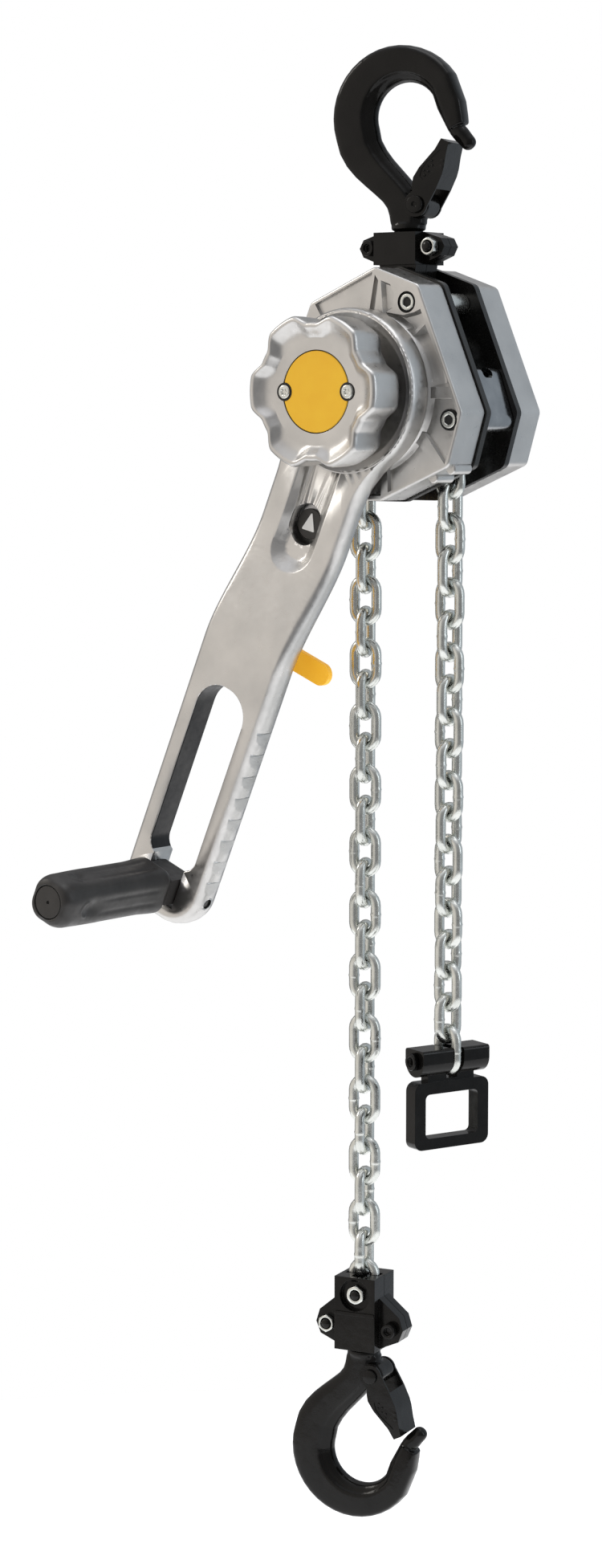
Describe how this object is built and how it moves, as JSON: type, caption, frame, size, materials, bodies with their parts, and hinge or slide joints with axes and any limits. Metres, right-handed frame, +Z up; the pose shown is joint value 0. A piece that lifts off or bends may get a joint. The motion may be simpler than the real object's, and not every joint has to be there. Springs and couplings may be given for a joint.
{
  "type": "lever chain hoist",
  "caption": "Ratchet lever chain hoist with swivel hooks, lobed handwheel, load chain, chain stop ring and a slotted lever that stores a fold-out crank grip.",
  "frame": {"origin": "the seat of the top hook's bowl, where it bears on the anchor it hangs from", "axes": "+Z up along the hook shank, +X to the right and the handwheel facing -Y; the drive shaft lies along Y, 161.5 mm below the origin"},
  "size_m": [0.2003, 0.2008, 0.8015],
  "materials": {
    "cast_aluminium": "satin die-cast aluminium, lightly blasted, edges brighter",
    "black_paint": "gloss black enamel on forged steel",
    "black_plate": "semi-matte black coated sheet steel",
    "zinc_plate": "bright zinc plated steel",
    "machined_steel": "machined and hardened steel, oiled",
    "brake_lining": "pressed brake lining",
    "yellow_plastic": "yellow moulded plastic, satin gloss",
    "black_plastic": "black moulded plastic, semi-matte"
  },
  "bodies": {
    "top_hook": {"top_hook": "black_paint", "top_latch_pin": "black_paint"},
    "top_latch": {"top_latch": "black_paint"},
    "hoist": {"top_yoke_front": "black_paint", "top_yoke_rear": "black_paint", "top_yoke_bolt_left": "black_paint", "top_yoke_nut_left": "zinc_plate", "top_yoke_bolt_right": "black_paint", "top_yoke_nut_right": "zinc_plate", "suspension_pin": "zinc_plate", "front_plate": "black_plate", "rear_plate": "black_plate", "front_cover": "cast_aluminium", "rear_cover": "cast_aluminium", "stay_upper_left": "zinc_plate", "stay_upper_right": "zinc_plate", "stay_lower_left": "zinc_plate", "stay_lower_right": "zinc_plate", "cover_screw_upper_right": "zinc_plate", "cover_screw_lower_left": "zinc_plate", "cover_screw_lower_right": "zinc_plate", "chain_guide": "zinc_plate", "chain_stripper": "black_plate"},
    "ratchet_wheel": {"ratchet_wheel": "machined_steel"},
    "brake_pawl_upper": {"brake_pawl_upper": "zinc_plate"},
    "brake_pawl_lower": {"brake_pawl_lower": "zinc_plate"},
    "drive": {"drive_shaft": "machined_steel", "friction_disc_inner": "brake_lining", "friction_disc_outer": "brake_lining", "pressure_hub": "machined_steel", "handwheel": "cast_aluminium", "wheel_cap": "yellow_plastic"},
    "intermediate_left": {"intermediate_gear_left": "machined_steel"},
    "intermediate_right": {"intermediate_gear_right": "machined_steel"},
    "sheave": {"load_sheave": "machined_steel", "load_gear": "machined_steel", "sheave_chain": "zinc_plate"},
    "lever": {"lever": "cast_aluminium", "lever_head_cover": "cast_aluminium", "crank_pivot_pin": "machined_steel"},
    "selector": {"change_pawl": "machined_steel", "selector": "yellow_plastic"},
    "crank": {"crank_spindle": "black_paint", "grip_end_cap": "black_plastic"},
    "grip": {"crank_grip": "black_plastic"},
    "load_line": {"load_chain": "zinc_plate", "bottom_block_front": "black_paint", "bottom_block_rear": "black_paint", "chain_pin": "black_paint", "chain_pin_nut": "zinc_plate", "bottom_bolt_left": "black_paint", "bottom_nut_left": "zinc_plate", "bottom_bolt_right": "black_paint"},
    "bottom_hook": {"bottom_hook": "black_paint", "bottom_latch_pin": "black_paint"},
    "bottom_latch": {"bottom_latch": "black_paint"},
    "idle_line": {"idle_chain": "zinc_plate", "stop_ring": "black_paint", "stop_bolt": "black_paint"}
  },
  "joints": [
    {"name": "top_swivel", "type": "hinge", "parent": "top_hook", "child": "hoist", "pos_m": [0, 0, -0.0781], "axis": [0, 0, 1], "continuous": true},
    {"name": "top_latch_hinge", "type": "hinge", "parent": "top_hook", "child": "top_latch", "pos_m": [0.00802, 0.0017, -0.0639], "axis": [0.2079, -0.9781, 0], "range_deg": [0, 45], "stiffness_Nm_per_rad": 0.06, "springref_deg": -22.92},
    {"name": "lever_turn", "type": "hinge", "parent": "hoist", "child": "lever", "pos_m": [0, -0.048, -0.1615], "axis": [0, -1, 0], "continuous": true},
    {"name": "selector_turn", "type": "hinge", "parent": "lever", "child": "selector", "pos_m": [-0.02931, -0.045, -0.23054], "axis": [0, -1, 0], "range_deg": [-10, 10]},
    {"name": "crank_fold", "type": "hinge", "parent": "lever", "child": "crank", "pos_m": [-0.11214, -0.063, -0.42568], "axis": [-0.9205, 0, 0.3907], "range_deg": [0, 90]},
    {"name": "grip_spin", "type": "hinge", "parent": "crank", "child": "grip", "pos_m": [-0.11214, -0.12, -0.42568], "axis": [0, -1, 0], "continuous": true},
    {"name": "handwheel_turn", "type": "hinge", "parent": "hoist", "child": "drive", "pos_m": [0, -0.07, -0.1615], "axis": [0, -1, 0], "range_deg": [-360, 360]},
    {"name": "sheave_turn", "type": "hinge", "parent": "hoist", "child": "sheave", "pos_m": [0, 0, -0.1615], "axis": [0, -1, 0], "range_deg": [-73, 73], "deforming": ["sheave_chain"]},
    {"name": "intermediate_left_turn", "type": "hinge", "parent": "hoist", "child": "intermediate_left", "pos_m": [-0.02625, 0.024, -0.1615], "axis": [0, -1, 0], "range_deg": [-145, 145]},
    {"name": "intermediate_right_turn", "type": "hinge", "parent": "hoist", "child": "intermediate_right", "pos_m": [0.02625, 0.024, -0.1615], "axis": [0, -1, 0], "range_deg": [-145, 145]},
    {"name": "load_chain_run", "type": "slide", "parent": "hoist", "child": "load_line", "axis": [0, 0, -1], "range_m": [-0.0341, 0.0341], "deforming": ["load_chain"]},
    {"name": "idle_chain_run", "type": "slide", "parent": "hoist", "child": "idle_line", "axis": [0, 0, 1], "range_m": [-0.0345, 0.0345], "deforming": ["idle_chain"]},
    {"name": "bottom_swivel", "type": "hinge", "parent": "load_line", "child": "bottom_hook", "pos_m": [-0.02767, 0, -0.6846], "axis": [0, 0, 1], "continuous": true},
    {"name": "bottom_latch_hinge", "type": "hinge", "parent": "bottom_hook", "child": "bottom_latch", "pos_m": [-0.01965, 0.0017, -0.6988], "axis": [-0.2079, 0.9781, 0], "range_deg": [0, 45], "stiffness_Nm_per_rad": 0.06, "springref_deg": -22.92},
    {"name": "ratchet_wheel_turn", "type": "hinge", "parent": "hoist", "child": "ratchet_wheel", "pos_m": [0, -0.0238, -0.1615], "axis": [0, -1, 0], "continuous": true},
    {"name": "brake_pawl_upper_lift", "type": "hinge", "parent": "hoist", "child": "brake_pawl_upper", "pos_m": [-0.01906, -0.0238, -0.12565], "axis": [0, 1, 0], "range_deg": [0, 12], "stiffness_Nm_per_rad": 0.02, "springref_deg": -17.19},
    {"name": "brake_pawl_lower_lift", "type": "hinge", "parent": "hoist", "child": "brake_pawl_lower", "pos_m": [0.01906, -0.0238, -0.19735], "axis": [0, 1, 0], "range_deg": [0, 12], "stiffness_Nm_per_rad": 0.02, "springref_deg": -17.19}
  ],
  "couplings": [
    {"joint": "sheave_turn", "follows": "load_chain_run", "rad_per_m": 36.744},
    {"joint": "intermediate_left_turn", "follows": "load_chain_run", "rad_per_m": -73.487},
    {"joint": "intermediate_right_turn", "follows": "load_chain_run", "rad_per_m": -73.487},
    {"joint": "handwheel_turn", "follows": "load_chain_run", "rad_per_m": 183.72},
    {"joint": "idle_chain_run", "follows": "load_chain_run", "ratio": 1}
  ]
}
